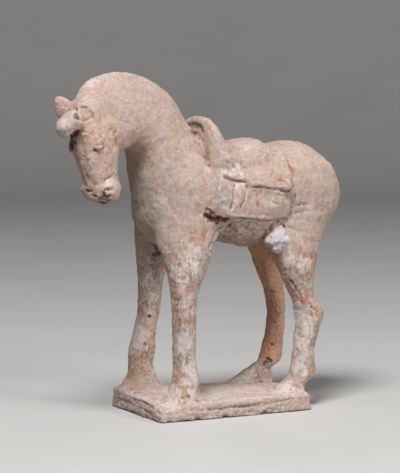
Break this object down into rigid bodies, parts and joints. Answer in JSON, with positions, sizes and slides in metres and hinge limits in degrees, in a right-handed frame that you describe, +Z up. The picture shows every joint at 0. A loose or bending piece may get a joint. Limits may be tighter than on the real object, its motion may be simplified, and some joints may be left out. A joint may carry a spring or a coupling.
{
  "type": "tomb horse figure",
  "caption": "Standing pottery tomb horse with arched neck, saddle and cloths, head turned to its left, on a low slab plinth.",
  "frame": {"origin": "centre of the plinth's flat underside", "axes": "-X the way the horse's body faces, -Y out of its left flank, +Z up"},
  "size_m": [0.2867, 0.1057, 0.2989],
  "materials": {
    "earthenware": "matt, unglazed, with worn pale slip over orange clay"
  },
  "bodies": {
    "root": {"tomb_horse": "earthenware"}
  },
  "joints": []
}
